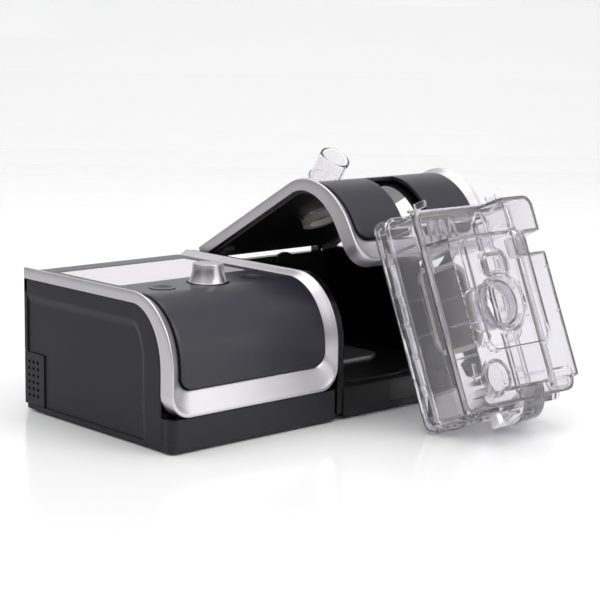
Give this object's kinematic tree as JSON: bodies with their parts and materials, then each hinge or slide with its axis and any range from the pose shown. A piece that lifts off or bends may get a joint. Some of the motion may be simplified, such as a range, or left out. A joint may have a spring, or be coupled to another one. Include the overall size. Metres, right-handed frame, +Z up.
{
  "type": "mechanical ventilator",
  "caption": "Bedside mechanical ventilator: rounded blower unit with knob and display, docked humidifier with its lid open, and its clear water chamber leaning in front.",
  "frame": {"origin": "middle of the footprint, on the surface that the object stands on", "axes": "+X to the right seen from the front, +Y to the back, +Z up"},
  "size_m": [0.2824, 0.277, 0.1733],
  "materials": {
    "case_plastic": "fine satin texture",
    "panel_plastic": "satin gloss, dark blue grey",
    "silver_trim": "fine metallic silver lacquer",
    "display_glass": "clear window over a pale grey display",
    "board": "green solder resist",
    "inner_plastic": "moulded, plain",
    "foam": "open cell foam",
    "rubber_parts": "matt",
    "steel": "turned and drawn",
    "impeller_plastic": "natural nylon",
    "humidifier_plastic": "black, satin",
    "heater_metal": "anodised, brushed",
    "clear_plastic": "clear moulded polycarbonate",
    "soft_seal": "translucent silicone",
    "chamber_metal": "brushed, dark"
  },
  "bodies": {
    "case": {"base_tray": "case_plastic", "left_side_cover": "case_plastic", "right_side_wall": "case_plastic", "rear_panel": "case_plastic", "front_panel": "case_plastic", "trim_band": "silver_trim", "top_panel": "panel_plastic", "display_window": "display_glass", "display_module": "inner_plastic", "control_board": "board", "encoder_body": "inner_plastic", "button_switches": "inner_plastic", "blower_shelf": "inner_plastic", "muffler_foam": "foam", "blower_mounts": "rubber_parts", "blower_motor": "steel", "volute_lower": "inner_plastic", "volute_upper": "inner_plastic", "air_duct": "inner_plastic", "power_board": "board", "power_inlet": "case_plastic", "air_filter": "foam", "rubber_feet": "rubber_parts", "case_screws": "steel", "humidifier_housing": "humidifier_plastic", "humidifier_base": "humidifier_plastic", "port_seal": "rubber_parts", "heater_springs": "steel", "hinge_pins": "steel"},
    "encoder": {"encoder_plunger": "steel"},
    "knob": {"knob": "silver_trim"},
    "left_button": {"left_button": "panel_plastic"},
    "right_button": {"right_button": "panel_plastic"},
    "impeller": {"impeller": "impeller_plastic"},
    "filter_cover": {"filter_cover": "case_plastic"},
    "rear_port_flap": {"rear_port_flap": "rubber_parts"},
    "heater": {"heater_plate": "heater_metal", "heater_element": "inner_plastic"},
    "release_button": {"release_button": "humidifier_plastic"},
    "lid": {"lid_frame": "silver_trim", "lid_panel": "panel_plastic", "lid_liner": "humidifier_plastic", "lid_hinge_arms": "humidifier_plastic", "lid_catch": "humidifier_plastic"},
    "outlet": {"outlet_tube": "clear_plastic", "outlet_seal": "rubber_parts"},
    "chamber": {"chamber_tank": "clear_plastic", "chamber_plate": "chamber_metal", "plate_seal": "soft_seal", "chamber_hinge_pin": "steel"},
    "chamber_cover": {"chamber_cover": "clear_plastic", "chamber_gasket": "soft_seal", "chamber_baffle": "clear_plastic"},
    "chamber_clip": {"chamber_clip": "clear_plastic"}
  },
  "joints": [
    {"name": "knob_press", "type": "slide", "parent": "case", "child": "encoder", "axis": [0, 0, -1], "range_m": [0, 0.0006], "stiffness_N_per_m": 3000, "springref_m": -0.0005},
    {"name": "knob_turn", "type": "hinge", "parent": "encoder", "child": "knob", "pos_m": [-0.0712, 0.02898, 0.094], "axis": [0, 0, 1], "continuous": true},
    {"name": "left_button_press", "type": "slide", "parent": "case", "child": "left_button", "axis": [0, 0, -1], "range_m": [0, 0.0006], "stiffness_N_per_m": 1500, "springref_m": -0.0005},
    {"name": "right_button_press", "type": "slide", "parent": "case", "child": "right_button", "axis": [0, 0, -1], "range_m": [0, 0.0006], "stiffness_N_per_m": 1500, "springref_m": -0.0005},
    {"name": "impeller_spin", "type": "hinge", "parent": "case", "child": "impeller", "pos_m": [-0.0862, 0.06998, 0.05], "axis": [0, 0, 1], "continuous": true},
    {"name": "filter_cover_pull", "type": "slide", "parent": "case", "child": "filter_cover", "axis": [-1, 0, 0], "range_m": [0, 0.015]},
    {"name": "rear_flap_open", "type": "hinge", "parent": "case", "child": "rear_port_flap", "pos_m": [-0.1042, 0.13738, 0.07], "axis": [-1, 0, 0], "range_deg": [0, 90]},
    {"name": "heater_plate_travel", "type": "slide", "parent": "case", "child": "heater", "axis": [0, 0, -1], "range_m": [0, 0.0015], "stiffness_N_per_m": 2500, "springref_m": -0.001, "deforming": ["heater_springs"]},
    {"name": "release_press", "type": "slide", "parent": "case", "child": "release_button", "axis": [0, 1, 0], "range_m": [0, 0.002], "stiffness_N_per_m": 1500, "springref_m": -0.001},
    {"name": "lid_hinge", "type": "hinge", "parent": "case", "child": "lid", "pos_m": [0.0726, 0.13178, 0.0905], "axis": [-1, 0, 0], "range_deg": [-30, 60]},
    {"name": "outlet_swivel", "type": "hinge", "parent": "lid", "child": "outlet", "pos_m": [0.0618, 0.06939, 0.13403], "axis": [0, 0.5, 0.866], "range_deg": [-120, 120]},
    {"name": "chamber_lift", "type": "slide", "parent": "case", "child": "chamber", "axis": [0, 0, 1], "range_m": [0, 0.2]},
    {"name": "chamber_cover_open", "type": "hinge", "parent": "chamber", "child": "chamber_cover", "pos_m": [0.0668, -0.05935, 0.14176], "axis": [-1, 0, 0], "range_deg": [0, 90]},
    {"name": "chamber_clip_open", "type": "hinge", "parent": "chamber", "child": "chamber_clip", "pos_m": [0.0378, -0.10508, 0.01307], "axis": [1, 0, 0], "range_deg": [0, 60]}
  ]
}
